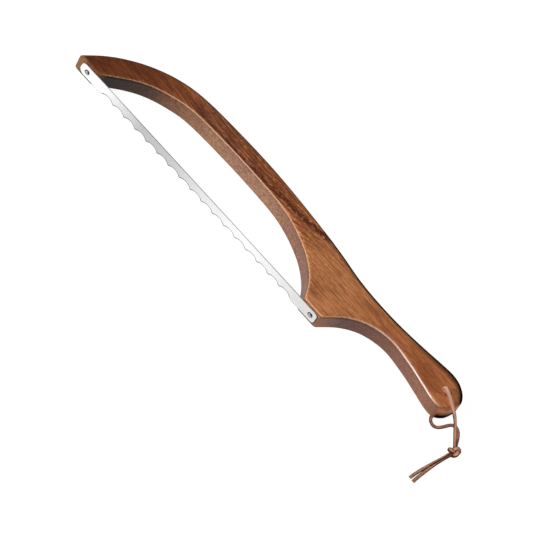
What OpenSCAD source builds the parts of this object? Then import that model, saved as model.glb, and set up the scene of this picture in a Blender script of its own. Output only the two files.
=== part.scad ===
// Bow bread knife: a sawn hardwood bow that carries a scalloped blade on two screws, with a leather lace at the butt.
// It lies on its back face. Every sub-part is drawn from the tip screw, with X along the blade and Y towards the
// back of the bow, and place() then moves it to the part's own origin.

/* [Bow] */
// Thickness of the board that the bow is sawn from
board_t = 19; // [16:0.5:25]
// Radius of the rounded edges along the arch
arch_edge_r = 3; // [1:0.25:4]
// Radius of the rounded edges around the handle
handle_edge_r = 4; // [2:0.25:6]
// Depth of the seats that the blade's ends lie in
seat_depth = 0.6; // [0.2:0.1:1.5]
// Clearance around the blade in the tip seat
tip_seat_gap = 0.2; // [0.1:0.05:1]
// Clearance around the blade in the heel seat
heel_seat_gap = 0.8; // [0.1:0.05:1]

/* [Blade] */
// Distance between the two screws
screw_span = 256; // [200:1:320]
// Width of the blade
blade_w = 12.7; // [10:0.1:20]
// Thickness of the blade
blade_t = 0.9; // [0.5:0.1:1.5]
// How far the blade reaches beyond the tip screw
blade_past_tip = 6.8; // [5:0.1:8]
// How far the blade reaches beyond the heel screw
blade_past_heel = 5.6; // [5:0.1:8]
// Radius of the blade's corners
blade_corner_r = 3; // [1:0.25:6]
// Radius of the corner at the tip end of the toothed edge
blade_toe_r = 5.5; // [1:0.25:6]
// Distance from one scallop to the next
scallop_pitch = 12.7; // [8:0.1:20]
// Number of scallops
scallop_count = 17; // [5:1:25]
// Distance from the tip screw to the middle of the first scallop
scallop_start = 25.4; // [20:0.1:40]
// Depth of a scallop below the tooth tips
scallop_depth = 2.8; // [1:0.1:5]
// Width of the flat on each tooth
tooth_flat = 1.5; // [0.5:0.1:4]
// How far the toothed edge is ground back from the plain edge
edge_relief = 1.2; // [0:0.1:3]
// How far the ground bevel of a scallop reaches across the blade's face
bevel_w = 1.3; // [0.3:0.1:3]

/* [Screws] */
// Diameter of a screw's head
head_d = 5; // [4:0.1:9]
// Height of a screw's head
head_h = 1.4; // [1:0.1:3]
// Diameter of a screw's shank
shank_d = 3; // [2:0.1:5]
// Length of a screw below its head
shank_l = 14; // [8:0.5:16]

/* [Lace] */
// Width of the leather lace
lace_w = 2.8; // [2:0.1:5]
// Thickness of the leather lace
lace_t = 1.5; // [0.8:0.1:3]
// Diameter of the lace hole in the butt
lace_hole_d = 5.6; // [4:0.1:10]
// Depth of the groove that the lace lies in across the back face
groove_depth = 1.7; // [1:0.1:3]
// Width of that groove
groove_w = 4; // [3:0.1:6]

/* [Hidden] */
$fn = 48;

mid_z = board_t / 2;
steps_per_span = 5;
blade_half_w = blade_w / 2;
blade_face_y = seat_depth - blade_t;
lace_hole = [372, 38.4];
lace_hole_lip = 0.5;
lace_sides = 8;
lace_steps = 3;
groove_angle = -77;
groove_length = 20;
recess_d = 2.6;
recess_w = 0.8;
recess_depth = 0.9;

// The back of the bow, from the tip to the butt. Its stations pair off with those of the belly.
back_line = [
    [-13.2, 1], [-4, 13.4], [6, 24.6], [17.5, 34.8], [30, 43.6], [44, 51], [60, 56.7], [80, 60],
    [112, 61.6], [146, 62], [180, 60.4], [216, 57.3], [228, 55.9], [240, 54.2], [260, 51],
    [280, 49.9], [306, 50.3], [330, 52.3], [350, 54.8], [362, 55.8], [371, 54.4], [379, 49.8],
    [383.4, 44.2], [384, 41]
];
// The belly, in four runs that meet at corners: the tip seat, the arch, the heel seat and the grip.
tip_run = [[-12.4, 0], [0, 0], [8.5, 0]];
arch_run = [
    [8.5, 0], [18.5, 9.8], [29, 19.9], [41, 28.6], [56, 35.7], [76, 41.5], [108, 43.5],
    [148, 43.8], [183, 41.3], [213, 31.1], [233, 16.8], [244.5, 0]
];
heel_run = [[244.5, 0], [263, 0]];
grip_run = [
    [263, 0], [277, 16.3], [292, 27.3], [312, 32.6], [335, 30.4], [353, 26.7], [367, 23.7],
    [376, 24.2], [382, 30.5], [384, 39]
];

// The lace's routes: X, Y, Z, the direction in plan that the flat strand runs in, and how far it leans over.
front_route = [
    [372.6, 38.4, 9.5, -46, 0], [371.9, 38.3, 13.5, -30, 0], [370.9, 38.1, 16.4, -22, 0],
    [369.4, 37.8, 18.7, -22, 0], [367.4, 37.2, 20.1, -22, 0], [366.5, 36.85, 21.9, -22, 0],
    [366.9, 36.6, 23.95, -22, 0], [368.2, 36.1, 25.3, -22, 0], [369.9, 35.4, 25.8, -20, 0],
    [372.2, 34.6, 25.5, -17, 0], [375.2, 33.8, 24.3, -15, 0], [379.4, 32.7, 22.1, -16, 0],
    [383.6, 31.5, 20, -18, 0], [388.2, 30.1, 17, -20, 0], [391.8, 29.2, 13, -18, 0], [395, 28, 9, -24, 0],
    [398.4, 26, 6, -33, 0], [401.8, 23.4, 4, -39, 0], [404.8, 20.6, 3, -43, 0], [406.2, 19.2, 2.9, -43, 0]
];
back_route = [
    [372.4, 38.4, 9.5, -46, 0], [372.3, 38, 5, -66, 0], [372.6, 36.6, 2, -77, 0], [373.1, 34, 0.9, -77, 0],
    [373.9, 30.5, 0.8, -77, 0], [374.7, 27, 0.8, -76, 0], [375.6, 23.8, 0.8, -66, 0],
    [377.8, 21.5, 0.8, -38, 0], [381, 20.6, 0.8, 0, 0], [383.9, 21.7, 0.8, 38, 0], [386, 24.6, 0.8, 60, 0],
    [387.6, 28.4, 0.8, 68, 0], [388.9, 31.7, 0.8, 64, 0], [390.6, 34.1, 0.8, 42, 0],
    [393.4, 35.2, 0.8, 2, 0], [396.6, 34, 0.8, -34, 0], [399.9, 30.7, 0.9, -52, 0],
    [402.8, 26.2, 1.3, -61, 0], [405.2, 22, 2, -64, 0], [406.6, 19.4, 2.4, -62, 0]
];
knot_centre = [407.9, 17.2, 2.9];
knot_balls = [[-1.6, -2.2, -0.2], [2, 2.6, -0.2], [-1.8, 1.8, 0]];
knot_ball_r = 2.6;
tail_left_route = [
    [406.6, 13.4, 2.4, -103, 46], [405.6, 5.4, 1.8, -100, 42], [404.5, -1.6, 1.6, -98, 38],
    [403.6, -8.4, 1.3, -97, 22], [402.8, -15.2, 1, -95, 8], [402.2, -22, 0.8, -91, 0],
    [402, -28.2, 0.8, -89, 0]
];
tail_right_route = [
    [408.3, 13.6, 2.4, -100, 46], [407.2, 6.6, 1.8, -98, 42], [406.4, -0.8, 1.6, -95, 38],
    [405.9, -8, 1.3, -92, 22], [405.6, -14.8, 1, -90, 8], [405.6, -21.6, 0.8, -88, 0],
    [405.9, -28.6, 0.8, -86, 0]
];

// A smooth curve through points: one stretch between b and c, and then the whole line.
function blend(a, b, c, d, t) =
    (2 * b + (c - a) * t + (2 * a - 5 * b + 4 * c - d) * t * t + (3 * b - a - 3 * c + d) * t * t * t) / 2;
function station(p, i) =
    i < 0 ? 2 * p[0] - p[1] : i >= len(p) ? 2 * p[len(p) - 1] - p[len(p) - 2] : p[i];
function curve(p, k) = concat(
    [for (i = [0 : len(p) - 2], s = [0 : k - 1])
        blend(station(p, i - 1), p[i], p[i + 1], station(p, i + 2), s / k)],
    [p[len(p) - 1]]
);
function unit(v) = v / norm(v);
function without_last(p) = [for (i = [0 : len(p) - 2]) p[i]];
function reversed(p) = [for (i = [len(p) - 1 : -1 : 0]) p[i]];

// The bow's outline, once round: the belly from tip to butt, then the back from butt to tip.
belly_points = concat(
    without_last(curve(tip_run, steps_per_span)),
    without_last(curve(arch_run, steps_per_span)),
    without_last(curve(heel_run, steps_per_span)),
    curve(grip_run, steps_per_span)
);
back_points = curve(back_line, steps_per_span);
outline = concat(belly_points, reversed(back_points));
outline_n = len(outline);
outward = [for (i = [0 : outline_n - 1])
    let (t = unit(outline[(i + 1) % outline_n] - outline[(i + outline_n - 1) % outline_n]))
    [t[1], -t[0]]];

// The edge radius grows from the arch to the handle between these two places along the bow.
grip_from_x = 262;
grip_to_x = 292;
function share(x) = min(max((x - grip_from_x) / (grip_to_x - grip_from_x), 0), 1);
function edge_r(x) = arch_edge_r + (handle_edge_r - arch_edge_r) * share(x);

// The outline on one layer of a rounded edge: angle 0 is on the face, and 90 is at full width.
edge_angles = [0, 35, 65, 90];
function layer(angle, top) = [for (i = [0 : outline_n - 1])
    let (r = edge_r(outline[i][0]), p = outline[i] - outward[i] * r * (1 - sin(angle)))
    [p[0], p[1], top ? board_t - r * (1 - cos(angle)) : r * (1 - cos(angle))]];

origin_x = (min([for (p = outline) p[0]]) + max([for (p = outline) p[0]])) / 2;
origin_y = (blade_face_y - head_h + max([for (p = outline) p[1]])) / 2;

module place() {
    translate([-origin_x, -origin_y, 0]) children();
}

module bow_blank() {
    layers = concat([for (a = edge_angles) layer(a, false)], [for (a = reversed(edge_angles)) layer(a, true)]);
    n = outline_n;
    half = n / 2;
    last = (len(layers) - 1) * n;
    walls = [for (l = [0 : len(layers) - 2], i = [0 : n - 1])
        let (a = l * n + i, b = l * n + (i + 1) % n)
        each [[a, b + n, b], [a, a + n, b + n]]];
    // Each face of the board is a ladder of quads from the belly to the back.
    bottom = [for (i = [0 : half - 2]) each [[i, i + 1, n - 2 - i], [i, n - 2 - i, n - 1 - i]]];
    top = [for (i = [0 : half - 2]) each
        [[last + i, last + n - 2 - i, last + i + 1], [last + i, last + n - 1 - i, last + n - 2 - i]]];
    polyhedron(points = [for (l = layers) each l], faces = concat(bottom, walls, top), convexity = 6);
}

// The blade's outline seen from its face, with its corners rounded.
module blade_outline() {
    r = blade_corner_r;
    hull() {
        translate([blade_toe_r - blade_past_tip, blade_toe_r - blade_half_w]) circle(r = blade_toe_r);
        translate([r - blade_past_tip, blade_half_w - r]) circle(r = r);
        for (side = [-1, 1])
            translate([screw_span + blade_past_heel - r, side * (blade_half_w - r)]) circle(r = r);
    }
}

// A pocket for one end of the blade, as wide as the blade with a gap around it.
module blade_seat(gap, from_x, to_x) {
    translate([0, seat_depth, mid_z]) rotate([90, 0, 0]) linear_extrude(5) intersection() {
        offset(r = gap) blade_outline();
        translate([from_x, -blade_w]) square([to_x - from_x, 2 * blade_w]);
    }
}

module lace_groove() {
    translate([lace_hole[0], lace_hole[1], 0]) rotate([0, 0, groove_angle])
        translate([0, -groove_w / 2, -1]) cube([groove_length, groove_w, 1 + groove_depth]);
}

module lace_bore() {
    r = lace_hole_d / 2;
    translate([lace_hole[0], lace_hole[1], -1]) cylinder(h = board_t + 2, r = r);
    translate([lace_hole[0], lace_hole[1], -0.01]) cylinder(h = lace_hole_lip, r1 = r + lace_hole_lip, r2 = r);
    translate([lace_hole[0], lace_hole[1], board_t + 0.01 - lace_hole_lip])
        cylinder(h = lace_hole_lip, r1 = r, r2 = r + lace_hole_lip);
}

module screw_pilot(x) {
    translate([x, shank_l + blade_face_y, mid_z]) rotate([90, 0, 0]) cylinder(h = shank_l + 2, r = shank_d / 2);
}

module bow_frame() {
    color("saddlebrown") place() difference() {
        bow_blank();
        blade_seat(tip_seat_gap, -20, 30);
        blade_seat(heel_seat_gap, screw_span - 30, screw_span + 20);
        screw_pilot(0);
        screw_pilot(screw_span);
        lace_bore();
        lace_groove();
    }
}

// One scallop: a ground cone whose wide end is on the face that shows. Its narrow end cuts the edge.
module scallop(x) {
    half_chord = (scallop_pitch - tooth_flat) / 2;
    r = (half_chord * half_chord + scallop_depth * scallop_depth) / (2 * scallop_depth);
    over = 0.2;
    slope = bevel_w / blade_t;
    translate([x, seat_depth + over, mid_z - blade_half_w + edge_relief + scallop_depth - r])
        rotate([90, 0, 0])
            cylinder(h = blade_t + 2 * over, r1 = r - slope * over, r2 = r + bevel_w + slope * over);
}

module blade() {
    first = scallop_start - scallop_pitch / 2;
    last = first + scallop_count * scallop_pitch;
    color("gainsboro") place() difference() {
        translate([0, seat_depth, mid_z]) rotate([90, 0, 0]) linear_extrude(blade_t) difference() {
            blade_outline();
            circle(r = shank_d / 2 + 0.15);
            translate([screw_span, 0]) circle(r = shank_d / 2 + 0.15);
            polygon([
                [first - 2, -blade_half_w - 1], [first - 2, -blade_half_w], [first, edge_relief - blade_half_w],
                [last, edge_relief - blade_half_w], [last + 2, -blade_half_w], [last + 2, -blade_half_w - 1]
            ]);
        }
        for (i = [0 : scallop_count - 1]) scallop(scallop_start + i * scallop_pitch);
    }
}

module screw(x) {
    crown_r = (head_d * head_d / 4 + head_h * head_h) / (2 * head_h);
    point_l = 3;
    color("silver") place() translate([x, blade_face_y, mid_z]) rotate([90, 0, 0]) {
        difference() {
            intersection() {
                cylinder(h = head_h, r = head_d / 2);
                translate([0, 0, head_h - crown_r]) sphere(r = crown_r);
            }
            for (turn = [45, 135]) rotate([0, 0, turn])
                translate([-recess_d / 2, -recess_w / 2, head_h - recess_depth])
                    cube([recess_d, recess_w, recess_depth + 1]);
        }
        translate([0, 0, point_l - shank_l]) cylinder(h = shank_l - point_l, r = shank_d / 2);
        translate([0, 0, -shank_l]) cylinder(h = point_l, r1 = 0.3, r2 = shank_d / 2);
    }
}

module tip_screw() {
    screw(0);
}

module heel_screw() {
    screw(screw_span);
}

// A flat strand swept along a route, as rings of points that face along it.
module strand(route) {
    line = curve(route, lace_steps);
    n = len(line);
    m = lace_sides;
    points = [for (i = [0 : n - 1])
        let (
            a = line[max(i - 1, 0)],
            b = line[min(i + 1, n - 1)],
            along = unit([b[0] - a[0], b[1] - a[1], b[2] - a[2]]),
            side = [-sin(line[i][3]), cos(line[i][3]), 0],
            level = unit(side - along * (side * along)),
            upright = cross(along, level),
            lean = line[i][4],
            wide = level * cos(lean) + upright * sin(lean),
            thick = upright * cos(lean) - level * sin(lean)
        )
        for (k = [0 : m - 1])
            let (u = 360 * (k + 0.5) / m)
            [line[i][0], line[i][1], line[i][2]]
                + wide * cos(u) / cos(180 / m) * lace_w / 2
                + thick * sin(u) / cos(180 / m) * lace_t / 2];
    walls = [for (i = [0 : n - 2], k = [0 : m - 1])
        let (p = i * m + k, q = i * m + (k + 1) % m)
        each [[p, q + m, q], [p, p + m, q + m]]];
    caps = [[for (k = [0 : m - 1]) k], [for (k = [m - 1 : -1 : 0]) (n - 1) * m + k]];
    color("sienna") place() polyhedron(points = points, faces = concat(walls, caps), convexity = 8);
}

module lace_front_strand() {
    strand(front_route);
}

module lace_back_strand() {
    strand(back_route);
}

module lace_tail_left() {
    strand(tail_left_route);
}

module lace_tail_right() {
    strand(tail_right_route);
}

module lace_knot() {
    color("sienna") place() translate(knot_centre) hull()
        for (p = knot_balls) translate(p) sphere(r = knot_ball_r, $fn = 20);
}

bow_frame();
blade();
tip_screw();
heel_screw();
lace_front_strand();
lace_back_strand();
lace_knot();
lace_tail_left();
lace_tail_right();
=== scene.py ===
"""A bow bread knife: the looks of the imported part, made in Blender.

Lengths are in millimetres in the knife's own frame, as in the part's source: the origin is the tip screw,
X runs along the blade, Y towards the back of the bow, and Z up from the back face that the knife lies on.
spot() turns them into the scene's metres.
"""

import math

import bmesh
import bpy
from mathutils import Matrix, Vector, noise


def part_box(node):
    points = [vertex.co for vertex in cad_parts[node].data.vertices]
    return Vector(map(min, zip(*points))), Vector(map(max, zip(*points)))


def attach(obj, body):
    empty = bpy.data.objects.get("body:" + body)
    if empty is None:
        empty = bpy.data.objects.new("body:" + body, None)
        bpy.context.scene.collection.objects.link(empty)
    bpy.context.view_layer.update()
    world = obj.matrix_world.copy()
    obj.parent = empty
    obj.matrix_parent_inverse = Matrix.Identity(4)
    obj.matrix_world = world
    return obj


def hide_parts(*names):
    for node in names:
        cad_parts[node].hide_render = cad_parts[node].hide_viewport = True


BODY = "knife"
MM = 0.001

BOARD_T = 19.0
MID_Z = BOARD_T / 2
SCREW_SPAN = 256.0
HEAD_H = 1.4
SEAT_DEPTH = 0.6
BLADE_W = 12.7
BLADE_T = 0.9
BLADE_FACE_Y = SEAT_DEPTH - BLADE_T

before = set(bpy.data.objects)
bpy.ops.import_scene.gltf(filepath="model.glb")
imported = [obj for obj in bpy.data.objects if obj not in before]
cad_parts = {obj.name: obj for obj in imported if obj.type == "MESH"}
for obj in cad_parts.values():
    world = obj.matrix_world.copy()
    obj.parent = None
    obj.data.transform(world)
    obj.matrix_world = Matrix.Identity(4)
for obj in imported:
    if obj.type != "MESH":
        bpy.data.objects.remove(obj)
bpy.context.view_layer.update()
screw_low, screw_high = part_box("tip_screw")
ORIGIN = Vector(((screw_low.x + screw_high.x) / 2, screw_low.y + (HEAD_H - BLADE_FACE_Y) * MM, 0))


def spot(x, y, z=0.0):
    """A point of the knife's own frame, in the scene."""
    return ORIGIN + Vector((x, y, z)) * MM


# ---------------------------------------------------------------- camera

CAMERA_RIGHT = Vector((0.6706, 0.6572, 0.344))
CAMERA_UP = Vector((-0.7301, 0.5026, 0.463))
CAMERA_AIM = (205.5, 0.5, MID_Z)
CAMERA_DISTANCE = 12.0
FRAME_WIDTH = 0.41
SENSOR = 36.0


def add_camera():
    """A camera far away with a narrow view, because the photograph has almost no perspective."""
    data = bpy.data.cameras.new("camera")
    data.sensor_width = SENSOR
    data.lens = SENSOR * CAMERA_DISTANCE / FRAME_WIDTH
    camera = bpy.data.objects.new("camera", data)
    bpy.context.scene.collection.objects.link(camera)
    right = CAMERA_RIGHT.normalized()
    back = right.cross(CAMERA_UP).normalized()
    up = back.cross(right)
    turn = Matrix((right, up, back)).transposed().to_4x4()
    camera.matrix_world = Matrix.Translation(spot(*CAMERA_AIM) + back * CAMERA_DISTANCE) @ turn
    bpy.context.scene.camera = camera


# ---------------------------------------------------------------- curves and meshes

def blend(a, b, c, d, t):
    """The point at share t of a smooth curve's stretch from b to c."""
    return tuple(
        (2 * q + (r - p) * t + (2 * p - 5 * q + 4 * r - s) * t ** 2 + (3 * q - p - 3 * r + s) * t ** 3) / 2
        for p, q, r, s in zip(a, b, c, d)
    )


def curve(points, steps):
    """A smooth curve through points, with that many steps between each two."""
    before = tuple(2 * a - b for a, b in zip(points[0], points[1]))
    after = tuple(2 * a - b for a, b in zip(points[-1], points[-2]))
    run = [before, *points, after]
    line = [
        blend(*run[i:i + 4], step / steps)
        for i in range(len(points) - 1)
        for step in range(steps)
    ]
    return [*line, tuple(points[-1])]


def new_object(name, mesh):
    """A piece of the knife."""
    piece = bpy.data.objects.new(name, mesh)
    bpy.context.scene.collection.objects.link(piece)
    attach(piece, BODY)
    return piece


def loft(name, rings):
    """A closed mesh through rings of points, each ring closed on itself."""
    mesh = bpy.data.meshes.new(name)
    count = len(rings[0])
    faces = [
        (a + i, a + (i + 1) % count, b + (i + 1) % count, b + i)
        for a, b in ((r * count, (r + 1) * count) for r in range(len(rings) - 1))
        for i in range(count)
    ]
    faces.append(tuple(reversed(range(count))))
    faces.append(tuple((len(rings) - 1) * count + i for i in range(count)))
    mesh.from_pydata([p for ring in rings for p in ring], [], faces)
    mesh.update()
    return mesh


def smooth(mesh, angle=None):
    """Shades a mesh smooth, with sharp edges wherever it turns by more than the angle in degrees."""
    for face in mesh.polygons:
        face.use_smooth = True
    if angle is not None:
        mesh.set_sharp_from_angle(angle=math.radians(angle))


def cutter(name, mesh):
    """A hidden solid that a boolean takes away."""
    tool = bpy.data.objects.new(name, mesh)
    bpy.context.scene.collection.objects.link(tool)
    return tool


def cut(piece, tools):
    """Takes solids away from a piece, for good."""
    for tool in tools:
        step = piece.modifiers.new(tool.name, "BOOLEAN")
        step.operation = "DIFFERENCE"
        step.solver = "EXACT"
        step.object = tool
    settled(piece)
    for tool in tools:
        bpy.data.objects.remove(tool)


def settled(piece):
    """Applies the piece's modifiers."""
    graph = bpy.context.evaluated_depsgraph_get()
    mesh = bpy.data.meshes.new_from_object(piece.evaluated_get(graph))
    piece.modifiers.clear()
    piece.data = mesh


def turned(name, profile, centre, axis, sides=64):
    """A solid of revolution from (radius, height) pairs, with the heights along the axis."""
    axis = Vector(axis).normalized()
    across = axis.orthogonal().normalized()
    third = axis.cross(across)
    rings = [
        [
            spot(*centre) + (axis * height + (across * math.cos(a) + third * math.sin(a)) * radius) * MM
            for a in (math.tau * i / sides for i in range(sides))
        ]
        for radius, height in profile
    ]
    return loft(name, rings)


# ---------------------------------------------------------------- lace

LACE_W = 2.8
LACE_T = 1.5
LACE_STEPS = 8
LACE_SIDES = 24
LACE_SQUARENESS = 2.6
LACE_SHARP_DEG = 50
LACE_UNEVENNESS = 0.06
LACE_WAVE = 0.13
LACE_WAVE_APART = 7.1

# X, Y, Z, the direction in plan that the flat strand runs in and how far it leans over, both in degrees,
# and its width as a share of LACE_W.
FRONT_ROUTE = [
    (372.6, 38.4, 9.5, -46, 0, 1), (371.9, 38.3, 13.5, -30, 0, 1), (370.9, 38.1, 16.4, -22, 0, 1),
    (369.4, 37.8, 18.7, -22, 0, 1.1), (367.4, 37.2, 20.1, -22, 0, 1.2), (366.5, 36.85, 21.9, -22, 0, 1.35),
    (366.9, 36.6, 23.95, -22, 0, 1.5), (368.2, 36.1, 25.3, -22, 0, 1.5), (369.9, 35.4, 25.8, -20, 0, 1.5),
    (372.2, 34.6, 25.5, -17, 0, 1.5), (375.2, 33.8, 24.3, -15, 0, 1.45), (379.4, 32.7, 22.1, -16, 0, 1.3),
    (383.6, 31.5, 20, -18, 0, 1.2), (388.2, 30.1, 17, -20, 0, 1.1), (391.8, 29.2, 13, -18, 0, 1),
    (395, 28, 9, -24, 0, 1), (398.4, 26, 6, -33, 0, 1), (401.8, 23.4, 4, -39, 0, 1),
    (404.8, 20.6, 3, -43, 0, 1), (406.2, 19.2, 2.9, -43, 0, 1),
]
BACK_ROUTE = [
    (372.4, 38.4, 9.5, -46, 0, 1), (372.3, 38, 5, -66, 0, 1), (372.6, 36.6, 2, -77, 0, 1),
    (373.1, 34, 0.9, -77, 0, 1), (373.9, 30.5, 0.8, -77, 0, 1), (374.7, 27, 0.8, -76, 0, 1),
    (375.6, 23.8, 0.8, -66, 0, 1), (377.8, 21.5, 0.8, -38, 0, 1), (381, 20.6, 0.8, 0, 0, 1),
    (383.9, 21.7, 0.8, 38, 0, 1), (386, 24.6, 0.8, 60, 0, 1), (387.6, 28.4, 0.8, 68, 0, 1),
    (388.9, 31.7, 0.8, 64, 0, 1), (390.6, 34.1, 0.8, 42, 0, 1), (393.4, 35.2, 0.8, 2, 0, 1),
    (396.6, 34, 0.8, -34, 0, 1), (399.9, 30.7, 0.9, -52, 0, 1), (402.8, 26.2, 1.3, -61, 0, 1),
    (405.2, 22, 2, -64, 0, 1), (406.6, 19.4, 2.4, -62, 0, 1),
]
TAIL_LEFT_ROUTE = [
    (406.6, 13.4, 2.4, -103, 46, 1), (405.6, 5.4, 1.8, -100, 42, 1), (404.5, -1.6, 1.6, -98, 38, 1),
    (403.6, -8.4, 1.3, -97, 22, 1), (402.8, -15.2, 1, -95, 8, 1), (402.2, -22, 0.8, -91, 0, 1),
    (402, -28.2, 0.8, -89, 0, 1),
]
TAIL_RIGHT_ROUTE = [
    (408.3, 13.6, 2.4, -100, 46, 1), (407.2, 6.6, 1.8, -98, 42, 1), (406.4, -0.8, 1.6, -95, 38, 1),
    (405.9, -8, 1.3, -92, 22, 1), (405.6, -14.8, 1, -90, 8, 1), (405.6, -21.6, 0.8, -88, 0, 1),
    (405.9, -28.6, 0.8, -86, 0, 1),
]
KNOT_CENTRE = (407.9, 17.2, 2.9)
# The overhand knot pulled tight: how far its three lobes reach across and along, and its swing in height.
KNOT_REACH = (4.3, 2.9)
KNOT_SWING = 1.4
KNOT_STRAP_W = 3.6
KNOT_STRAP_T = LACE_T * 0.84
KNOT_TURN = 50
KNOT_STEPS = 120


def strap_shape():
    """A flat lace's section with soft edges, across it and through it, each from -1 to 1."""
    shape = []
    for i in range(LACE_SIDES):
        angle = math.tau * (i + 0.5) / LACE_SIDES
        shape.append([
            math.copysign(abs(part) ** (2 / LACE_SQUARENESS), part)
            for part in (math.cos(angle), math.sin(angle))
        ])
    return shape


def strap_ring(centre, wide, thick, width, thickness):
    """One section of the lace, in the scene."""
    return [
        centre + (wide * across * width + thick * through * thickness) * MM / 2
        for across, through in strap_shape()
    ]


def strap_mesh(name, rings):
    """A flat lace through its sections, which remembers how far across it each point is."""
    mesh = loft(name, rings)
    across = mesh.attributes.new("across", "FLOAT", "POINT")
    across.data.foreach_set("value", [point[0] for point in strap_shape()] * len(rings))
    return mesh


def strap_rings(route, seed):
    """The sections of a flat lace along a route, and the points at their middles."""
    line = curve(route, LACE_STEPS)
    rings = []
    path = []
    for i, (x, y, z, heading, lean, share) in enumerate(line):
        ahead = Vector(line[min(i + 1, len(line) - 1)][:3])
        behind = Vector(line[max(i - 1, 0)][:3])
        along = (ahead - behind).normalized()
        side = Vector((-math.sin(math.radians(heading)), math.cos(math.radians(heading)), 0))
        level = (side - along * side.dot(along)).normalized()
        upright = along.cross(level)
        tilt = math.radians(lean)
        wide = level * math.cos(tilt) + upright * math.sin(tilt)
        thick = upright * math.cos(tilt) - level * math.sin(tilt)
        wave = noise.noise(Vector((i * LACE_WAVE, seed * LACE_WAVE_APART, 0.5)))
        uneven = 1 + LACE_UNEVENNESS * wave
        centre = spot(x, y, z)
        rings.append(strap_ring(centre, wide, thick, LACE_W * share * uneven, LACE_T * uneven))
        path.append(centre)
    return rings, path


def lace_piece(name, route, seed):
    """One stretch of the lace, and the points along its middle."""
    rings, path = strap_rings(route, seed)
    mesh = strap_mesh(name, rings)
    smooth(mesh, LACE_SHARP_DEG)
    piece = new_object(name, mesh)
    return piece, path


def make_lace():
    """The knot, the two strands that come to it from the hole, and its two tails."""
    knot = make_knot()
    strands = [
        ("front_strand", FRONT_ROUTE, "lace_front_strand", "knot", spot(*LACE_HOLE, BOARD_T)),
        ("back_strand", BACK_ROUTE, "lace_back_strand", "knot", spot(*LACE_HOLE, 0)),
        ("left_tail", TAIL_LEFT_ROUTE, "lace_tail_left", "bare", spot(*KNOT_CENTRE)),
        ("right_tail", TAIL_RIGHT_ROUTE, "lace_tail_right", "bare", spot(*KNOT_CENTRE)),
    ]
    pieces = [knot]
    for seed, (name, route, node, far_end, start) in enumerate(strands):
        piece, path = lace_piece(name, route, seed)
        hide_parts(node)
        pieces.append(piece)
    return pieces


def knot_point(share):
    """The middle of the doubled lace, at a share of its way round the knot's three lobes."""
    a = math.tau * share
    across = KNOT_REACH[0] * (math.sin(a) + 2 * math.sin(2 * a)) / 3
    along = KNOT_REACH[1] * (math.cos(a) - 2 * math.cos(2 * a)) / 3
    turn = Matrix.Rotation(math.radians(KNOT_TURN), 3, "Z")
    return Vector(KNOT_CENTRE) + turn @ Vector((across, along, -KNOT_SWING * math.sin(3 * a)))


def knot_strand(side):
    """The sections of one of the two strands, which lie face to face through the knot."""
    rings = []
    for i in range(KNOT_STEPS + 1):
        middle = knot_point(i / KNOT_STEPS)
        forward = (knot_point((i + 1) / KNOT_STEPS) - knot_point((i - 1) / KNOT_STEPS)).normalized()
        wide = forward.cross(Vector((0, 0, 1))).normalized()
        thick = wide.cross(forward)
        place = middle + thick * side * KNOT_STRAP_T / 2
        rings.append(strap_ring(spot(*place), wide, thick, KNOT_STRAP_W, KNOT_STRAP_T))
    return rings


def make_knot():
    """The overhand knot that the two strands are tied in together."""
    mesh = bpy.data.meshes.new("knot")
    joined = bmesh.new()
    for side in (-1, 1):
        joined.from_mesh(strap_mesh("knot_strand", knot_strand(side)))
    joined.to_mesh(mesh)
    joined.free()
    smooth(mesh, LACE_SHARP_DEG)
    knot = new_object("knot", mesh)
    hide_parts("lace_knot")
    return knot


# ---------------------------------------------------------------- bow

BACK_LINE = [
    (-13.7, 1), (-4, 13.4), (6, 24.6), (17.5, 34.8), (30, 43.6), (44, 51), (60, 56.7), (80, 60),
    (112, 61.6), (146, 62), (180, 60.4), (216, 57.3), (228, 55.9), (240, 54.2), (260, 51),
    (280, 49.9), (306, 50.3), (330, 52.3), (350, 54.8), (362, 55.8), (371, 54.4), (379, 49.8),
    (383.4, 44.2), (384, 41),
]
TIP_RUN = [(-12.6, 0), (0, 0), (8.5, 0)]
ARCH_RUN = [
    (8.5, 0), (18.5, 9.8), (29, 19.9), (41, 28.6), (56, 35.7), (76, 41.5), (108, 43.5),
    (148, 43.8), (183, 41.3), (213, 31.1), (233, 16.8), (244.5, 0),
]
HEEL_RUN = [(244.5, 0), (264.5, 0)]
GRIP_RUN = [
    (264.5, 0), (277, 16.3), (292, 27.3), (312, 32.6), (335, 30.4), (353, 26.7), (367, 23.7),
    (376, 24.2), (382, 30.5), (384, 39),
]
OUTLINE_STEPS = 16
OUTLINE_PITCH = 1.0
CORNER_PASSES = 3
NORMAL_PASSES = 40
ARRIS_STEPS = 8
ARCH_EDGE_R = 3.0
HANDLE_EDGE_R = 4.0
NOSE_FROM_X = -2.0
NOSE_TO_X = -12.5
NOSE_SWEEPS = ((4.0, 9.0, 0.0), (1.4, 11.0, BOARD_T))
GRIP_FROM_X = 262.0
GRIP_TO_X = 292.0
LACE_HOLE = (372.0, 38.4)
BLADE_PAST_TIP = 6.8
BLADE_PAST_HEEL = 5.6
BLADE_CORNER_R = 3.0
BLADE_TOE_R = 5.5
LACE_HOLE_R = 2.8
LACE_HOLE_LIP = 0.4
TIP_SEAT_GAP = 0.2
HEEL_SEAT_GAP = 0.8
SEAT_REACH = 36
SEAT_OPEN = 5
SHANK_R = 1.5
SHANK_L = 14
SHANK_GAP = 0.15
HOLE_SIDES = 32
CORNER_STEPS = 12
SMALL_CORNER_STEPS = 6
GROOVE_W = 4.0
GROOVE_DEPTH = 1.7
GROOVE_LENGTH = 20.0
GROOVE_CORNER_R = 0.7
GROOVE_DEG = -77
OVER = 2
BOW_SHARP_DEG = 40


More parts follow.
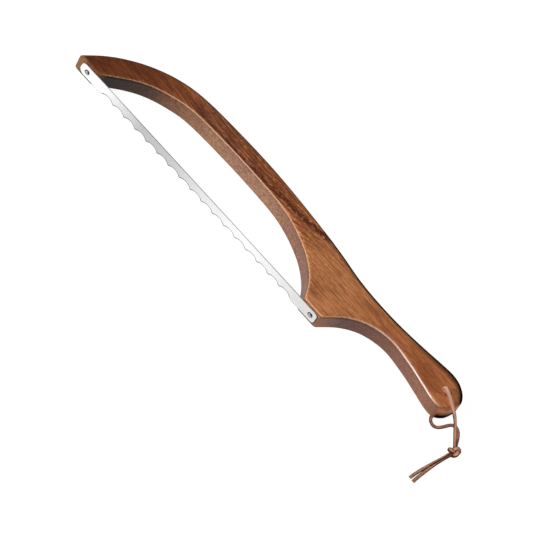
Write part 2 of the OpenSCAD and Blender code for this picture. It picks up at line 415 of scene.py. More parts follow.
def evenly(points, pitch):
    """A closed outline's points, moved to even steps along it."""
    loop = [Vector(p) for p in points] + [Vector(points[0])]
    lengths = [0.0]
    for a, b in zip(loop, loop[1:]):
        lengths.append(lengths[-1] + (b - a).length)
    count = round(lengths[-1] / pitch)
    spaced = []
    i = 0
    for step in range(count):
        target = lengths[-1] * step / count
        while lengths[i + 1] < target:
            i += 1
        share = (target - lengths[i]) / (lengths[i + 1] - lengths[i])
        spaced.append(loop[i].lerp(loop[i + 1], share))
    return spaced


def softened(loop, passes):
    """A closed outline with its corners sanded round."""
    for _ in range(passes):
        count = len(loop)
        loop = [
            (loop[i - 1] + loop[i] * 2 + loop[(i + 1) % count]) / 4
            for i in range(count)
        ]
    return loop


def bow_outline():
    """The bow's outline, once round anticlockwise."""
    belly = [
        *curve(TIP_RUN, OUTLINE_STEPS)[:-1],
        *curve(ARCH_RUN, OUTLINE_STEPS)[:-1],
        *curve(HEEL_RUN, OUTLINE_STEPS)[:-1],
        *curve(GRIP_RUN, OUTLINE_STEPS),
    ]
    back = curve(BACK_LINE, OUTLINE_STEPS)
    return softened(evenly(belly + back[::-1], OUTLINE_PITCH), CORNER_PASSES)


def edge_radius(x):
    """The radius of the rounded edge, which grows from the arch to the handle."""
    share = min(max((x - GRIP_FROM_X) / (GRIP_TO_X - GRIP_FROM_X), 0), 1)
    return ARCH_EDGE_R + (HANDLE_EDGE_R - ARCH_EDGE_R) * share


def nose_draw(x, z):
    """How far the nose is swept back at x, towards each of the two faces."""
    share = min(max((NOSE_FROM_X - x) / (NOSE_FROM_X - NOSE_TO_X), 0), 1)
    sweep = sum(most * max((z - start) / (end - start), 0) ** 2 for most, start, end in NOSE_SWEEPS)
    return sweep * share


def bow_rings():
    """The outline at each height of the two rounded edges, from the back face to the front face."""
    loop = bow_outline()
    count = len(loop)
    outward = []
    for i in range(count):
        along = (loop[(i + 1) % count] - loop[i - 1]).normalized()
        outward.append(Vector((along.y, -along.x)))
    outward = [n.normalized() for n in softened(outward, NORMAL_PASSES)]
    angles = [90 * k / ARRIS_STEPS for k in range(ARRIS_STEPS + 1)]
    levels = [(a, False) for a in angles] + [(a, True) for a in reversed(angles)]
    rings = []
    for angle, front in levels:
        inset = 1 - math.sin(math.radians(angle))
        drop = 1 - math.cos(math.radians(angle))
        ring = []
        for p, n in zip(loop, outward):
            r = edge_radius(p.x)
            q = p - n * r * inset
            z = BOARD_T - r * drop if front else r * drop
            ring.append(spot(q.x + nose_draw(q.x, z), q.y, z))
        rings.append(ring)
    return rings


def quarter_turn(steps):
    """The angles of a quarter turn, at even steps."""
    return [math.pi / 2 * k / steps for k in range(steps + 1)]


def blade_corner(end_x, way, side, radius, gap):
    """One rounded corner of the blade's outline, from its end to its long side."""
    centre_x = end_x - way * radius
    centre_z = MID_Z + side * (BLADE_W / 2 - radius)
    reach = radius + gap
    return [
        (centre_x + way * reach * math.cos(a), centre_z + side * reach * math.sin(a))
        for a in quarter_turn(CORNER_STEPS)
    ]


def seat_cutter(name, end_x, way, low_r, gap):
    """The pocket for one end of the blade, with a gap around it, which runs out into the open."""
    low = blade_corner(end_x, way, -1, low_r, gap)
    high = blade_corner(end_x, way, 1, BLADE_CORNER_R, gap)
    half = BLADE_W / 2 + gap
    far_x = end_x - way * SEAT_REACH
    outline = [*reversed(low), *high, (far_x, MID_Z + half), (far_x, MID_Z - half)]
    rings = [[spot(x, y, z) for x, z in outline] for y in (SEAT_DEPTH, SEAT_DEPTH - SEAT_OPEN)]
    return cutter(name, loft(name, rings))


def lace_bore_cutter():
    """The lace's hole, with a hollow ring round it at both faces."""
    ring = [
        (LACE_HOLE_R + LACE_HOLE_LIP * (1 - math.cos(a)), LACE_HOLE_LIP * math.sin(a))
        for a in reversed(quarter_turn(SMALL_CORNER_STEPS))
    ]
    back = [(LACE_HOLE_R + LACE_HOLE_LIP, -LACE_HOLE_LIP), *ring]
    front = [(r, BOARD_T - z) for r, z in reversed(back)]
    return cutter("lace_bore", turned("lace_bore", back + front, (*LACE_HOLE, 0), (0, 0, 1)))


def groove_cutter():
    """The groove across the back face that the lace lies in, with rounded corners."""
    turn = math.radians(GROOVE_DEG)
    half = GROOVE_W / 2
    centre_v = half - GROOVE_CORNER_R
    centre_z = GROOVE_DEPTH - GROOVE_CORNER_R
    section = [(-half, -1), (half, -1)]
    for side, start in ((1, 0), (-1, math.pi / 2)):
        section += [
            (
                side * centre_v + GROOVE_CORNER_R * math.cos(start + a),
                centre_z + GROOVE_CORNER_R * math.sin(start + a),
            )
            for a in quarter_turn(SMALL_CORNER_STEPS)
        ]
    rings = [
        [
            spot(
                LACE_HOLE[0] + u * math.cos(turn) - v * math.sin(turn),
                LACE_HOLE[1] + u * math.sin(turn) + v * math.cos(turn),
                z,
            )
            for v, z in section
        ]
        for u in (0, GROOVE_LENGTH)
    ]
    return cutter("lace_groove", loft("lace_groove", rings))


def hole_cutters(radius, depth):
    """The two holes for the screws' shanks, from above the blade down to Y = depth."""
    return [
        cutter(name, turned(name, [(radius, -OVER), (radius, depth)], (x, 0, MID_Z), (0, 1, 0), HOLE_SIDES))
        for name, x in (("tip_hole", 0), ("heel_hole", SCREW_SPAN))
    ]


def make_bow():
    """The sawn bow, with its seats, pilots, hole and groove."""
    bow = new_object("bow", loft("bow", bow_rings()))
    cut(bow, [
        seat_cutter("tip_seat", -BLADE_PAST_TIP, -1, BLADE_TOE_R, TIP_SEAT_GAP),
        seat_cutter("heel_seat", SCREW_SPAN + BLADE_PAST_HEEL, 1, BLADE_CORNER_R, HEEL_SEAT_GAP),
        *hole_cutters(SHANK_R, SHANK_L),
        lace_bore_cutter(),
        groove_cutter(),
    ])
    smooth(bow.data, BOW_SHARP_DEG)
    even = bow.modifiers.new("face_normals", "WEIGHTED_NORMAL")
    even.keep_sharp = True
    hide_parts("bow_frame")
    return bow


# ---------------------------------------------------------------- blade and screws

SCALLOP_PITCH = 12.7
SCALLOP_COUNT = 17
SCALLOP_START = 25.4
SCALLOP_DEPTH = 2.8
TOOTH_FLAT = 1.5
EDGE_RELIEF = 1.2
BEVEL_W = 1.3
PLAIN_BEVEL_W = 0.6
GRIND_SHARE = 0.4
BLADE_LOW = MID_Z - BLADE_W / 2
BLADE_HIGH = MID_Z + BLADE_W / 2
SPINE_SOFT = 0.1
RELIEF_RAMP = 2.0
STATIONS_PER_SCALLOP = 40
STATIONS_PER_END = 20
BLADE_SHARP_DEG = 12


def edge_height(x, bevel):
    """How high the blade's edge is at x. bevel makes the scallops' circles wider."""
    first = SCALLOP_START - SCALLOP_PITCH / 2
    last = first + SCALLOP_COUNT * SCALLOP_PITCH
    starts = min(max((x - first + RELIEF_RAMP) / RELIEF_RAMP, 0), 1)
    ends = min(max((last + RELIEF_RAMP - x) / RELIEF_RAMP, 0), 1)
    relief = EDGE_RELIEF * starts * ends
    half = (SCALLOP_PITCH - TOOTH_FLAT) / 2
    radius = (half ** 2 + SCALLOP_DEPTH ** 2) / (2 * SCALLOP_DEPTH)
    nearest = round((x - SCALLOP_START) / SCALLOP_PITCH)
    nearest = min(max(nearest, 0), SCALLOP_COUNT - 1)
    off = x - SCALLOP_START - nearest * SCALLOP_PITCH
    reach = radius + bevel
    height = relief
    if abs(off) < reach:
        height = max(height, EDGE_RELIEF + SCALLOP_DEPTH - radius + math.sqrt(reach ** 2 - off ** 2))
    return height


def make_blade():
    """The blade as sections from its tip end to its heel end."""
    mesh = loft("blade", [blade_column(x) for x in blade_stations()])
    blade = new_object("blade_body", mesh)
    cut(blade, hole_cutters(SHANK_R + SHANK_GAP, OVER))
    smooth(blade.data, BLADE_SHARP_DEG)
    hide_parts("blade")
    return blade


def blade_stations():
    """Where along X the blade's sections are: close together at the rounded ends, and even between them."""
    turns = quarter_turn(STATIONS_PER_END)
    tip_end = [BLADE_TOE_R * (1 - math.cos(a)) - BLADE_PAST_TIP for a in turns]
    heel_end = [SCREW_SPAN + BLADE_PAST_HEEL - BLADE_CORNER_R * (1 - math.sin(a)) for a in turns]
    pitch = SCALLOP_PITCH / STATIONS_PER_SCALLOP
    count = round((heel_end[0] - tip_end[-1]) / pitch)
    middle = [tip_end[-1] + (heel_end[0] - tip_end[-1]) * k / count for k in range(1, count)]
    return tip_end + middle + heel_end


def corner_drop(x, end_x, radius):
    """How much a rounded corner takes off the blade's height at x."""
    past = max(radius - abs(end_x - x), 0)
    return radius - math.sqrt(max(radius ** 2 - past ** 2, 0))


def blade_column(x):
    """The blade's section at x: an edge ground on both faces, and a spine with softened corners."""
    heel_end = SCREW_SPAN + BLADE_PAST_HEEL
    toe = max(corner_drop(x, -BLADE_PAST_TIP, BLADE_TOE_R), corner_drop(x, heel_end, BLADE_CORNER_R))
    low = BLADE_LOW + max(toe, edge_height(x, 0))
    bevel = BLADE_LOW + max(toe, edge_height(x, BEVEL_W))
    tip_drop = corner_drop(x, -BLADE_PAST_TIP, BLADE_CORNER_R)
    high = BLADE_HIGH - max(tip_drop, corner_drop(x, heel_end, BLADE_CORNER_R))
    bevel = max(bevel, low + PLAIN_BEVEL_W)
    grind = BLADE_T * GRIND_SHARE * min((bevel - low) / BEVEL_W, 1)
    front = BLADE_FACE_Y
    back = SEAT_DEPTH
    section = [
        (front + grind, low), (back - grind, low), (back, bevel), (back, high - SPINE_SOFT),
        (back - SPINE_SOFT, high), (front + SPINE_SOFT, high), (front, high - SPINE_SOFT), (front, bevel),
    ]
    return [spot(x, y, z) for y, z in section]


HEAD_R = 2.5
RECESS_REACH = 2.6
RECESS_W = 0.8
RECESS_DEPTH = 0.9
RECESS_TAPER = 0.62
HEAD_RIM = 0.15
CROWN_START = 0.25
CROWN_LIFT = 0.02
CROWN_STEPS = 14
SCREW_SHARP_DEG = 35


def make_screw(name, x, node, turn):
    """A pan-head screw with a cross recess."""
    crown_r = (HEAD_R ** 2 + HEAD_H ** 2) / (2 * HEAD_H)
    profile = [(HEAD_R - HEAD_RIM, 0), (HEAD_R, HEAD_RIM)]
    for k in range(CROWN_STEPS + 1):
        height = CROWN_START + (HEAD_H - CROWN_START) * k / CROWN_STEPS
        profile.append((math.sqrt(crown_r ** 2 - (crown_r - HEAD_H + height) ** 2) + CROWN_LIFT, height))
    mesh = turned(name, profile, (x, BLADE_FACE_Y, MID_Z), (0, -1, 0))
    screw = new_object(name, mesh)
    slots = []
    for k, angle in enumerate((turn, turn + 90)):
        slots.append(recess_cutter(f"{name}_slot_{k}", x, math.radians(angle)))
    cut(screw, slots)
    smooth(screw.data, SCREW_SHARP_DEG)
    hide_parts(node)
    return screw


def recess_cutter(name, x, turn):
    """One arm of the cross recess, which narrows as it goes down."""
    rings = []
    for depth, shrink in ((-1.0, 1.0), (0.0, 1.0), (RECESS_DEPTH, RECESS_TAPER)):
        half = RECESS_REACH / 2 * shrink
        wide = RECESS_W / 2 * shrink
        y = BLADE_FACE_Y - HEAD_H + depth
        rings.append([
            spot(
                x + u * math.cos(turn) - w * math.sin(turn),
                y,
                MID_Z + u * math.sin(turn) + w * math.cos(turn),
            )
            for u, w in ((-half, -wide), (half, -wide), (half, wide), (-half, wide))
        ])
    return cutter(name, loft(name, rings))


# ---------------------------------------------------------------- materials

class Nodes:
    """A material's node tree, with short ways to add what the materials here are made of."""

    def __init__(self, name):
        self.material = bpy.data.materials.new(name)
        self.material.use_nodes = True
        self.tree = self.material.node_tree
        self.tree.nodes.clear()

    def add(self, kind, sockets=None, **settings):
        """A node with its settings, and with its sockets set to values or linked to other nodes' outputs."""
        node = self.tree.nodes.new(kind)
        for key, value in settings.items():
            setattr(node, key, value)
        for key, value in (sockets or {}).items():
            if isinstance(value, bpy.types.NodeSocket):
                self.tree.links.new(value, node.inputs[key])
            else:
                node.inputs[key].default_value = value
        return node

    def place(self, scale=(1, 1, 1), move=(0, 0, 0), turn=(0, 0, 0)):
        """The point on the piece in millimetres, scaled and moved."""
        coords = self.add("ShaderNodeTexCoord")
        return self.add(
            "ShaderNodeMapping",
            {0: coords.outputs["Object"], 1: move, 2: turn, 3: tuple(s / MM for s in scale)},
        ).outputs[0]

    def noise(self, vector, scale=1.0, detail=4.0, rough=0.55, twist=0.0):
        """Smooth noise around 0.5."""
        return self.add(
            "ShaderNodeTexNoise",
            {"Vector": vector, "Scale": scale, "Detail": detail, "Roughness": rough, "Distortion": twist},
        ).outputs[0]

    def calc(self, operation, *values):
        """One step of arithmetic."""
        return self.add("ShaderNodeMath", dict(enumerate(values)), operation=operation).outputs[0]

    def plus(self, a, b):
        return self.calc("ADD", a, b)

    def minus(self, a, b):
        return self.calc("SUBTRACT", a, b)

    def most(self, a, b):
        return self.calc("MAXIMUM", a, b)

    def times(self, product, *factors):
        for factor in factors:
            product = self.calc("MULTIPLY", product, factor)
        return product

    def away(self, value, middle=0.0):
        """How far value is from the middle, either way."""
        return self.calc("ABSOLUTE", self.minus(value, middle) if middle else value)

    def split(self, vector):
        return self.add("ShaderNodeSeparateXYZ", {0: vector}).outputs

    def here(self):
        """X, Y and Z of the point in the knife's own frame."""
        return self.split(self.place(move=tuple(-v / MM for v in ORIGIN)))

    def normal(self):
        """X, Y and Z of the direction that the surface faces."""
        return self.split(self.add("ShaderNodeTexCoord").outputs["Normal"])

    def spread(self, value, low, high, to_low=0.0, to_high=1.0, interpolation="SMOOTHSTEP"):
        """value's range from low to high, spread smoothly over another range."""
        if low > high:
            low, high, to_low, to_high = high, low, to_high, to_low
        return self.add(
            "ShaderNodeMapRange",
            {0: value, 1: low, 2: high, 3: to_low, 4: to_high},
            interpolation_type=interpolation,
        ).outputs[0]

    def shade(self, colour, by):
        """The colour times another, or times one number."""
        return self.mix(1.0, colour, by if isinstance(by, tuple) else (by, by, by), "MULTIPLY")

    def stain(self, colour, stains, where=1.0):
        """The colour with stains on it, each a noise, its range, the stain's strength and its colour."""
        for field, low, high, amount, tint in stains:
            share = self.times(self.spread(field, low, high, 0.0, amount), where)
            colour = self.mix(share, colour, tint)
        return colour

    def ramp(self, value, stops):
        """Colours along a value, from (position, colour) pairs."""
        node = self.add("ShaderNodeValToRGB", {0: value})
        elements = node.color_ramp.elements
        while len(elements) < len(stops):
            elements.new(0.5)
        for element, (position, colour) in zip(elements, stops):
            element.position = position
            element.color = (*colour, 1)
        return node.outputs[0]

    def mix(self, share, a, b, mode="MIX"):
        """Colour a turning into colour b as share goes from 0 to 1."""
        node = self.add("ShaderNodeMix", data_type="RGBA", blend_type=mode)
        sockets = {0: share, 6: a, 7: b}
        for key, value in sockets.items():
            if isinstance(value, bpy.types.NodeSocket):
                self.tree.links.new(value, node.inputs[key])
            elif key == 0:
                node.inputs[key].default_value = value
            else:
                node.inputs[key].default_value = (*value, 1)
        return node.outputs[2]

    def bump(self, height, strength, distance, below=None):
        """A bump, its distance in millimetres, on top of another one if there is one."""
        sockets = {"Strength": strength, "Distance": distance * MM, "Height": height}
        if below is not None:
            sockets["Normal"] = below
        return self.add("ShaderNodeBump", sockets).outputs[0]

    def finish(self, **sockets):
        """Ends the tree in a Principled shader with these sockets, named with underscores."""
        named = {key.replace("_", " "): value for key, value in sockets.items()}
        shader = self.add("ShaderNodeBsdfPrincipled", named)
        self.add("ShaderNodeOutputMaterial", {0: shader.outputs[0]})
        return self.material


def srgb(r, g, b):
    """A colour from 0 to 255 as the shader wants it."""
    def line(v):
        v /= 255
        return v / 12.92 if v <= 0.04045 else ((v + 0.055) / 1.055) ** 2.4
    return (line(r), line(g), line(b))


# Colours along the knife, each at its share of COLOUR_SPAN from the tip screw: the wood's own tone together
# with painted light and shade, such as the painted shade on the belly near the tip.
COLOUR_SPAN = 400.0
FACE_TONES_AND_PAINTED_LIGHT = [
    (0.0, (0.15, 0.04, 0.014)), (0.1, (0.2, 0.057, 0.021)), (0.17, (0.28, 0.088, 0.034)),
    (0.21, (0.23, 0.076, 0.034)), (0.26, (0.296, 0.1, 0.04)),
    (0.33, (0.262, 0.082, 0.033)), (0.4, (0.316, 0.095, 0.034)),
    (0.5, (0.44, 0.148, 0.056)), (0.58, (0.51, 0.19, 0.072)), (0.66, (0.545, 0.206, 0.078)),
    (0.74, (0.5, 0.174, 0.061)), (0.88, (0.52, 0.162, 0.054)), (1.0, (0.74, 0.29, 0.12)),
]
BELLY_TONES_AND_PAINTED_SHADE = [
    (0.0, (0.12, 0.04, 0.016)), (0.025, (0.11, 0.037, 0.015)), (0.035, (0.016, 0.009, 0.007)),
    (0.1, (0.048, 0.022, 0.016)), (0.15, (0.144, 0.064, 0.036)), (0.25, (0.24, 0.12, 0.068)),
    (0.4, (0.256, 0.132, 0.08)), (0.48, (0.208, 0.096, 0.056)), (0.58, (0.176, 0.08, 0.052)),
    (0.64, (0.24, 0.104, 0.048)), (0.665, (0.24, 0.096, 0.04)), (0.69, (0.104, 0.04, 0.028)),
    (0.9, (0.208, 0.088, 0.052)), (1.0, (0.2, 0.08, 0.04)),
]
HEARTWOOD = srgb(74, 32, 16)
HEARTWOOD_HEIGHT = 45.4
BACK_PAINTED_SHADE = srgb(34, 14, 10)
EDGE_PAINTED_SHADE = srgb(14, 7, 6)
END_GRAIN = (srgb(92, 58, 38), srgb(140, 104, 72))
ARRIS_HIGHLIGHT = (srgb(232, 182, 142), srgb(255, 214, 196))
SEAT_PAINTED_SHADE = srgb(28, 18, 14)
ARRIS_HIGHLIGHT_AMOUNT = 0.75
ARRIS_NORMAL_Z = 0.74
HEIGHT_SPAN = 100.0


class Wood(Nodes):
    """A node tree that knows where on the bow a point is, and has the noises that its grain is made of."""

    def __init__(self, name):
        super().__init__(name)
        self.x, self.y, self.z = self.here()
        self.normal_x, self.normal_y, self.normal_z = self.normal()
        self.along = self.spread(self.x, 0.0, COLOUR_SPAN, interpolation="LINEAR")
        self.arris = self.away(self.normal_z, ARRIS_NORMAL_Z)

        # The tree's rings, bent over the arch: how far across them a point is.
        lift = self.minus(self.calc("MINIMUM", self.x, 215.0), 115.0)
        bend = self.times(lift, lift, self.spread(self.x, 100.0, 130.0, 0.0018, 0.0008))
        self.height = self.minus(self.y, bend)
        rings = self.minus(self.height, self.spread(self.x, 0.0, 60.0, 0.0, 14.0))
        wander = self.noise(self.place((0.02, 0.04, 0.05)), detail=2.0)
        rings = self.plus(rings, self.spread(wander, 0.35, 0.65, -1.0, 1.0))
        drawn_out = self.times(self.x, 0.045)
        grain = self.add("ShaderNodeCombineXYZ", {0: drawn_out, 1: rings, 2: self.z}).outputs[0]

        self.bands = self.noise(grain, scale=0.22, detail=3.0, rough=0.6)
        self.streak = self.noise(grain, scale=0.55, detail=3.0, rough=0.7)
        self.fine = self.noise(grain, scale=0.95, detail=2.0, rough=0.6)
        self.figure = self.noise(self.place((0.03, 0.09, 0.09)), detail=4.0, rough=0.6, twist=0.6)
        self.lines = self.noise(self.place((0.06, 0.95, 0.8), move=(1, 5, 2)), detail=2.0, rough=0.6)
        self.fleck = self.noise(
            self.place((0.3, 0.75, 0.7), move=(7, 3, 5)), detail=3.0, rough=0.65, twist=0.5,
        )
        self.grit = self.noise(self.place((1.3, 1.4, 1.3), move=(2, 9, 4)), detail=2.0, rough=0.7)
        self.pores = self.noise(self.place((0.3, 2.4, 2.4)), detail=2.0, rough=0.6)


def face_colour(n):
    """The flat faces: grain along X, with golden flecks and a dark streak on the arch."""
    colour = n.ramp(n.along, FACE_TONES_AND_PAINTED_LIGHT)
    dark = n.shade(colour, (0.36, 0.27, 0.22))
    light = n.shade(colour, (1.6, 1.7, 1.65))
    calm = n.times(n.spread(n.x, 205.0, 235.0, 1.0, 0.35), n.spread(n.x, 30.0, 75.0, 0.55, 1.0))
    flecked = n.times(n.spread(n.x, 40.0, 120.0, 0.3, 1.0), n.spread(n.x, 260.0, 200.0, 0.25, 1.0))
    heel = n.times(n.spread(n.x, 205.0, 235.0), n.spread(n.x, 345.0, 300.0))
    colour = n.stain(colour, [(n.figure, 0.47, 0.6, 0.4, dark)])
    colour = n.stain(colour, [
        (n.bands, 0.5, 0.66, 0.55, dark), (n.bands, 0.48, 0.34, 0.25, light),
        (n.streak, 0.5, 0.64, 0.7, dark), (n.streak, 0.47, 0.36, 0.45, light),
        (n.fine, 0.5, 0.6, 0.65, dark), (n.fine, 0.48, 0.38, 0.55, light),
    ], calm)
    golden = n.shade(colour, (1.9, 2.05, 1.9))
    colour = n.stain(colour, [(n.fleck, 0.53, 0.6, 0.9, golden)], flecked)
    colour = n.stain(colour, [(n.pores, 0.56, 0.64, 0.5, dark)])
    colour = n.stain(colour, [(n.lines, 0.52, 0.6, 0.4, light), (n.lines, 0.48, 0.4, 0.3, dark)], heel)

    off = n.plus(n.away(n.height, HEARTWOOD_HEIGHT), n.spread(n.fleck, 0.38, 0.62, -1.1, 1.1))
    on_arch = n.times(n.spread(n.x, 55.0, 120.0), n.spread(n.x, 240.0, 215.0, 0.0, 0.85))
    return n.mix(n.times(n.spread(off, 2.6, 0.9), on_arch), colour, HEARTWOOD)


def belly_colour(n):
    """The sawn edge on the blade's side, with more open grain than the faces."""
    colour = n.ramp(n.along, BELLY_TONES_AND_PAINTED_SHADE)
    shadow = n.shade(colour, (0.45, 0.4, 0.38))
    pale = n.shade(colour, (1.8, 1.7, 1.5))
    open_grain = n.spread(n.x, 235.0, 275.0, 1.0, 0.6)
    colour = n.stain(colour, [(n.streak, 0.5, 0.66, 0.4, shadow)])
    return n.stain(colour, [
        (n.fleck, 0.49, 0.4, 0.4, shadow), (n.grit, 0.5, 0.6, 0.7, shadow),
        (n.grit, 0.49, 0.4, 0.7, pale), (n.fleck, 0.52, 0.6, 0.45, pale),
    ], open_grain)


def near_back_painted_shade(n):
    """Where painted shade darkens the face towards the back of the handle."""
    # The back's outline as a ramp, whose positions and values end at 1.
    edge = n.ramp(n.along, [(x / COLOUR_SPAN, (y / HEIGHT_SPAN,) * 3) for x, y in BACK_LINE[2:-1]])
    below = n.minus(n.times(edge, HEIGHT_SPAN), n.y)
    broad = n.times(n.spread(below, 8.5, 2.5), n.spread(n.x, 300.0, 350.0, 0.0, 0.85))
    thin = n.times(n.spread(below, 4.8, 3.0), n.spread(n.x, 215.0, 245.0, 0.0, 0.6))
    return n.times(n.most(broad, thin), n.spread(n.normal_z, 0.3, 0.6))


def on_rim_painted_shade(n):
    """Where a painted shade line runs along the bow's back: near the front face, and fainter on the arch."""
    tilt = n.plus(n.normal_y, n.times(n.normal_x, 0.3))
    at_back = n.spread(tilt, 0.1, 0.32)
    return n.times(at_back, n.spread(n.x, 200.0, 235.0, 0.35, 1.0), n.spread(n.z, 16.2, 17.2))


def below_screws(n):
    """Where the wood below the two screws lies in shadow."""
    near_heel_screw = n.spread(n.away(n.x, 254.0), 14.0, 11.0)
    near_screw = n.plus(n.spread(n.x, 9.0, 7.0), near_heel_screw)
    return n.times(n.spread(n.normal_z, 0.02, -0.15), near_screw, n.spread(n.normal_y, 0.1, -0.1))


def on_arris_highlight(n):
    """Where a painted highlight lies along the belly's front arris: patchy on the arch, and palest on the
    grip.
    """
    share = n.times(n.spread(n.arris, 0.16, 0.05), n.spread(n.normal_y, 0.0, -0.25))
    share = n.times(share, n.spread(n.grit, 0.38, 0.56, 0.35, 1.0), n.spread(n.x, 20.0, 80.0, 0.55, 1.0))
    ends = n.times(n.spread(n.x, 6.0, 14.0), n.spread(n.x, 262.0, 290.0, 1.0, 0.9))
    return n.times(share, ends, n.spread(n.x, 379.0, 368.0), ARRIS_HIGHLIGHT_AMOUNT)


def in_seat(n):
    """Where the floor of a blade seat is, which is painted dark as shade."""
    return n.times(n.spread(n.normal_y, -0.8, -0.95), n.spread(n.y, 0.3, 0.5), n.spread(n.y, 0.8, 0.65))


def wood_material():
    """Dark oiled hardwood with its grain along X: smooth on the faces, paler and more open on the belly."""
    n = Wood("oiled_hardwood")
    face = face_colour(n)
    flat = n.spread(n.away(n.normal_z), 0.72, 0.9)
    side = n.mix(n.spread(n.normal_y, 0.0, 0.3), belly_colour(n), n.shade(face, 0.85))
    # Painted shade darkens the face towards the back of the handle.
    colour = n.mix(near_back_painted_shade(n), n.mix(flat, side, face), BACK_PAINTED_SHADE)

    # The butt end's side takes the face's colour painted darker as shade, and near black lower down as
    # painted shadow.
    butt = n.times(
        n.spread(n.normal_x, 0.3, 0.6), n.spread(n.x, 368.0, 376.0), n.spread(n.normal_y, 0.75, 0.45),
    )
    colour = n.mix(butt, colour, n.shade(face, (0.75, 0.72, 0.72)))
    lower_butt_shadow = n.times(butt, n.spread(n.z, 14.5, 6.0))
    # Painted shade, near black: the line along the bow's back, the wood below the screws and the butt's
    # lower end.
    painted_shade_share = n.most(on_rim_painted_shade(n), n.most(below_screws(n), lower_butt_shadow))
    colour = n.mix(painted_shade_share, colour, EDGE_PAINTED_SHADE)

    nose = n.times(n.spread(n.normal_z, 0.95, 0.75), n.spread(n.x, -3.0, -8.0))
    colour = n.mix(nose, colour, n.mix(n.spread(n.grit, 0.4, 0.6), *END_GRAIN))
    # A painted highlight along the belly's front arris, pale pink on the grip.
    colour = n.mix(on_arris_highlight(n), colour, n.mix(n.spread(n.x, 270.0, 310.0), *ARRIS_HIGHLIGHT))
    # Painted shade in the gaps of the blade seats.
    colour = n.mix(in_seat(n), colour, SEAT_PAINTED_SHADE)

    uneven = n.times(n.spread(flat, 0.0, 1.0, 0.5, 0.1), n.spread(n.x, 262.0, 300.0, 1.0, 0.15))
    bump = n.bump(n.grit, uneven, 0.12, below=n.bump(n.pores, 0.4, 0.06))
    rough = n.plus(n.spread(n.streak, 0.35, 0.65, 0.4, 0.5), n.spread(n.normal_y, 0.2, 0.6, 0.0, 0.4))
    polish = n.times(
        n.spread(n.normal_y, 0.05, -0.2), n.spread(n.x, 270.0, 310.0),
        n.spread(n.arris, 0.3, 0.15), n.spread(n.x, 380.0, 370.0),
    )
    shine = n.times(n.spread(n.x, 40.0, 110.0, 0.1, 0.2), n.minus(1.0, painted_shade_share))
    return n.finish(
        Base_Color=colour, Roughness=rough, Normal=bump, Specular_IOR_Level=shine,
        Coat_Weight=polish, Coat_Roughness=0.25,
    )


# The greys along the blade, each at its share of SWEEP_SPAN from the tip screw: a painted reflection that
# brightens and dims along the blade.
SWEEP_SPAN = 260.0
BLADE_PAINTED_REFLECTION = [
    (0.0, (0.95, 0.95, 0.95)), (0.07, (0.93, 0.93, 0.93)), (0.14, (0.74, 0.74, 0.74)),
    (0.24, (0.5, 0.5, 0.51)), (0.36, (0.54, 0.54, 0.55)), (0.5, (0.74, 0.74, 0.74)),
    (0.68, (0.93, 0.93, 0.93)), (0.82, (0.82, 0.82, 0.82)), (0.95, (0.68, 0.68, 0.67)),
]


def blade_material():
    """Satin stainless steel, ground across the blade, with a painted reflection that brightens and dims
    along it, painted darker on the ground edge and the spine.
    """
    n = Nodes("satin_steel")
    x = n.here()[0]
    normal = n.normal()
    grind = n.noise(n.place((3.0, 0.2, 0.12)), detail=4.0, rough=0.7)
    along = n.spread(x, 0.0, SWEEP_SPAN, interpolation="LINEAR")
    sweep = n.ramp(along, BLADE_PAINTED_REFLECTION)
    colour = n.mix(n.spread(grind, 0.35, 0.65, 0.0, 0.25), sweep, n.shade(sweep, 0.72))
    ground = n.times(n.spread(n.away(normal[1]), 0.995, 0.975), n.spread(normal[2], 0.1, -0.05))
    # The ground edge is painted dark: a painted darker reflection.
    colour = n.mix(ground, colour, n.shade(sweep, 0.2))
    spine = n.spread(normal[2], 0.15, 0.4)
    # The spine is painted a little darker: painted reflection too.
    colour = n.mix(spine, colour, n.shade(sweep, 0.82))
    rough = n.plus(n.spread(grind, 0.3, 0.7, 0.22, 0.34), n.times(spine, 0.4))
    return n.finish(Base_Color=colour, Metallic=1.0, Roughness=rough, Normal=n.bump(grind, 0.1, 0.02))


def screw_material(name, screw_x):
    """Plated steel, bright on its crown, with painted shade round its rim and in its recess."""
    n = Nodes(name)
    x, y, z = n.here()
    off_x = n.minus(x, screw_x)
    off_z = n.minus(z, MID_Z)
    reach = n.calc("SQRT", n.plus(n.times(off_x, off_x), n.times(off_z, off_z)))
    scuff = n.noise(n.place((1.5, 1.5, 1.5)), detail=5.0, rough=0.7)
    bright = n.mix(n.spread(scuff, 0.35, 0.7), srgb(120, 120, 120), srgb(190, 190, 190))
    # A painted shade ring round the head's rim.
    colour = n.mix(n.spread(reach, 1.7, 2.1), bright, srgb(52, 50, 48))
    head_y = BLADE_FACE_Y - HEAD_H
    walls = n.times(n.spread(n.normal()[1], -0.85, -0.6), n.spread(reach, 1.7, 1.4))
    deep = n.times(n.spread(y, head_y + 0.3, head_y + 0.6), n.spread(reach, 1.5, 1.3))
    # Painted shade on the recess's walls and deep down in it.
    colour = n.mix(n.most(walls, deep), colour, srgb(22, 21, 20))
    return n.finish(
        Base_Color=colour, Metallic=1.0, Roughness=n.spread(scuff, 0.3, 0.7, 0.22, 0.4),
        Normal=n.bump(scuff, 0.15, 0.03),
    )


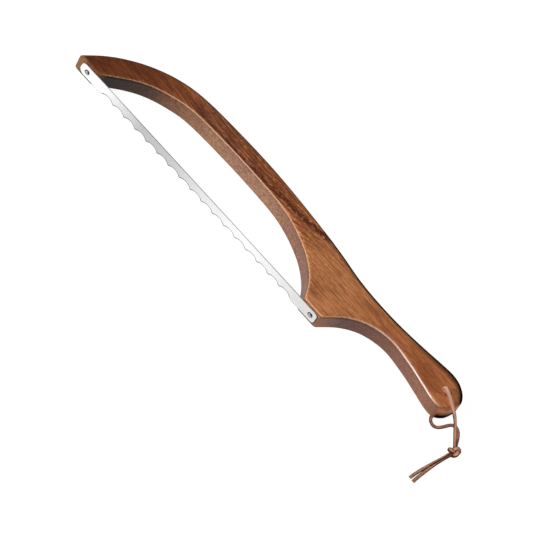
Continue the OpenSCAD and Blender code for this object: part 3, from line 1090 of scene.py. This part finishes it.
def lace_material():
    """Brown suede: a fuzzy nap, its cut edges dark, partly their own colour and partly painted shade, and
    painted lighter where it lies higher.
    """
    n = Nodes("brown_suede")
    z = n.here()[2]
    nap = n.noise(n.place((2.5, 2.5, 2.5)), detail=6.0, rough=0.75)
    patch = n.noise(n.place((0.5, 0.5, 0.5)), detail=3.0)
    across = n.away(n.add("ShaderNodeAttribute", attribute_name="across").outputs["Fac"])
    off_table_painted_light = n.spread(z, 3.0, 7.0)
    over_hole_painted_light = n.spread(z, 17.5, 21.0)
    top = n.mix(n.spread(patch, 0.4, 0.6), srgb(166, 114, 88), srgb(206, 150, 120))
    # Painted light: the lace is paler off the table and palest over the hole.
    top = n.mix(off_table_painted_light, top, srgb(240, 180, 146))
    top = n.mix(over_hole_painted_light, top, srgb(255, 200, 168))
    # The dark cut edges, partly painted shade, are painted lighter over the hole.
    edge = n.mix(over_hole_painted_light, srgb(66, 27, 17), srgb(176, 112, 84))
    colour = n.mix(n.spread(across, 0.9, 0.4), edge, top)
    colour = n.mix(n.spread(nap, 0.44, 0.62, 0.0, 0.5), colour, n.shade(colour, (0.5, 0.42, 0.38)))
    return n.finish(
        Base_Color=colour, Roughness=0.9, Specular_IOR_Level=0.2, Sheen_Weight=0.06, Sheen_Roughness=0.5,
        Normal=n.bump(nap, 0.5, 0.15),
    )


def paint(pieces, material):
    """Gives the pieces this material and no other."""
    for piece in pieces:
        piece.data.materials.clear()
        piece.data.materials.append(material)


# ---------------------------------------------------------------- studio

# The studio's sizes are in metres.
FLOOR_HALF = 6.0
FLOOR_Z = -0.0002


def add_floor():
    """A pale floor, just under the knife."""
    mesh = bpy.data.meshes.new("floor")
    corners = [(-1, -1), (1, -1), (1, 1), (-1, 1)]
    mesh.from_pydata([(x * FLOOR_HALF, y * FLOOR_HALF, FLOOR_Z) for x, y in corners], [], [(0, 1, 2, 3)])
    floor = bpy.data.objects.new("floor", mesh)
    bpy.context.scene.collection.objects.link(floor)
    n = Nodes("white_floor")
    mesh.materials.append(n.finish(
        Base_Color=(0.25, 0.25, 0.25, 1), Roughness=0.9, Specular_IOR_Level=0.1,
        Emission_Color=(1, 1, 1, 1), Emission_Strength=0.92,
    ))


def add_softbox(name, way, distance, size, power):
    """A square light that shines on the knife from this way."""
    data = bpy.data.lights.new(name, "AREA")
    data.shape = "SQUARE"
    data.size = size
    data.energy = power
    light = bpy.data.objects.new(name, data)
    bpy.context.scene.collection.objects.link(light)
    way = Vector(way).normalized()
    light.location = way * distance
    light.rotation_mode = "QUATERNION"
    light.rotation_quaternion = way.to_track_quat("Z", "Y")


def add_sky(strength):
    """An even white light from all round."""
    world = bpy.data.worlds.new("studio")
    world.use_nodes = True
    sky = world.node_tree.nodes["Background"]
    sky.inputs["Color"].default_value = (1, 1, 1, 1)
    sky.inputs["Strength"].default_value = strength
    bpy.context.scene.world = world


# ---------------------------------------------------------------- the whole scene

add_camera()
lace = make_lace()
bow = make_bow()
blade = make_blade()
screws = [
    make_screw("tip_head", 0, "tip_screw", 45),
    make_screw("heel_head", SCREW_SPAN, "heel_screw", 20),
]
paint(lace, lace_material())
paint([bow], wood_material())
paint([blade], blade_material())
paint(screws[:1], screw_material("plated_steel_tip", 0.0))
paint(screws[1:], screw_material("plated_steel_heel", SCREW_SPAN))
add_floor()
add_sky(0.3)
add_softbox("key", way=(-0.55, -0.65, 0.5), distance=1.4, size=1.1, power=8.5)
add_softbox("glint", way=(-0.33, -0.77, 0.54), distance=1.4, size=0.3, power=9)
bpy.context.scene.view_settings.view_transform = "Standard"
